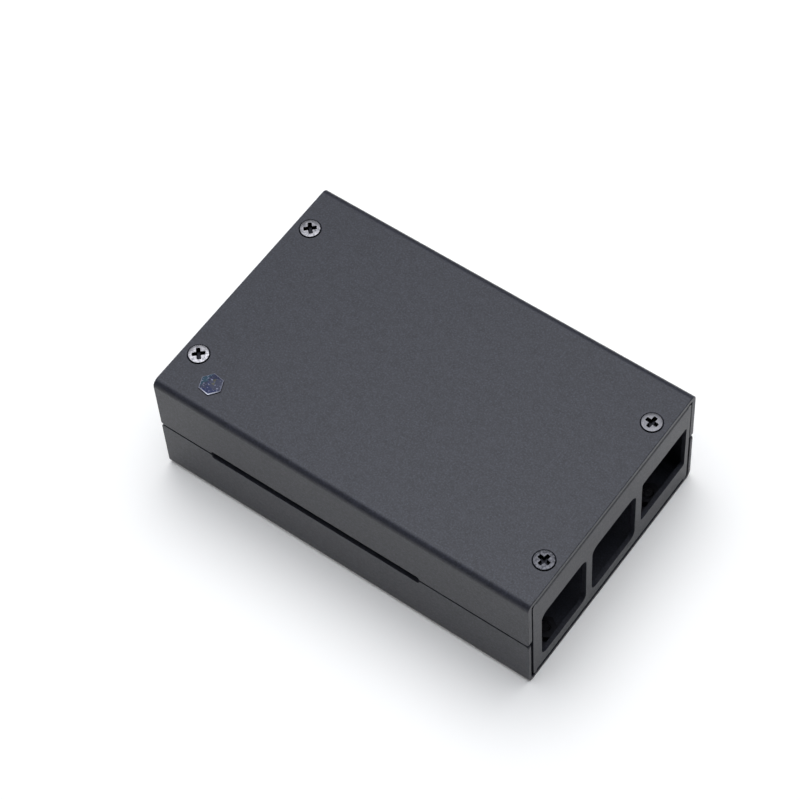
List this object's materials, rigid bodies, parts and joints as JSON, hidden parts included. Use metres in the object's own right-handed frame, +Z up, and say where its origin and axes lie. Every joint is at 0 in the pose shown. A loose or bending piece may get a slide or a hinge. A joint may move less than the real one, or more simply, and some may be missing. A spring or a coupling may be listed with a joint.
{
  "type": "single-board computer case",
  "caption": "Dark anodised folded sheet case for a small single-board computer, with countersunk screws, socket windows, a ribbon slot and a small cut crystal.",
  "frame": {"origin": "centre of the plain face that the case lies on", "axes": "+X along the length towards the windows of the stacked sockets, +Y across towards the power socket's side, +Z up towards the face with the crystal"},
  "size_m": [0.094, 0.0604, 0.0322],
  "materials": {
    "dark_anodised": "sand-blasted and anodised dark grey, matt",
    "screw_steel": "black nickel plated, worn bright on the rims",
    "nut_steel": "zinc plated, satin",
    "pillar_metal": "bare, turned",
    "cut_glass": "cut and polished, foil-backed blue and teal"
  },
  "bodies": {
    "root": {"carrier_shell": "dark_anodised", "cover_shell": "dark_anodised", "port_end_plate": "dark_anodised", "card_end_plate": "dark_anodised", "carrier_screw_1": "screw_steel", "carrier_screw_2": "screw_steel", "carrier_screw_3": "screw_steel", "carrier_screw_4": "screw_steel", "cover_screw_1": "screw_steel", "cover_screw_2": "screw_steel", "cover_screw_3": "screw_steel", "cover_screw_4": "screw_steel", "carrier_nut_1": "nut_steel", "carrier_nut_2": "nut_steel", "carrier_nut_3": "nut_steel", "carrier_nut_4": "nut_steel", "cover_nut_1": "nut_steel", "cover_nut_2": "nut_steel", "cover_nut_3": "nut_steel", "cover_nut_4": "nut_steel", "board_pillar_1": "pillar_metal", "board_pillar_2": "pillar_metal", "board_pillar_3": "pillar_metal", "board_pillar_4": "pillar_metal", "cut_crystal": "cut_glass"}
  },
  "joints": []
}
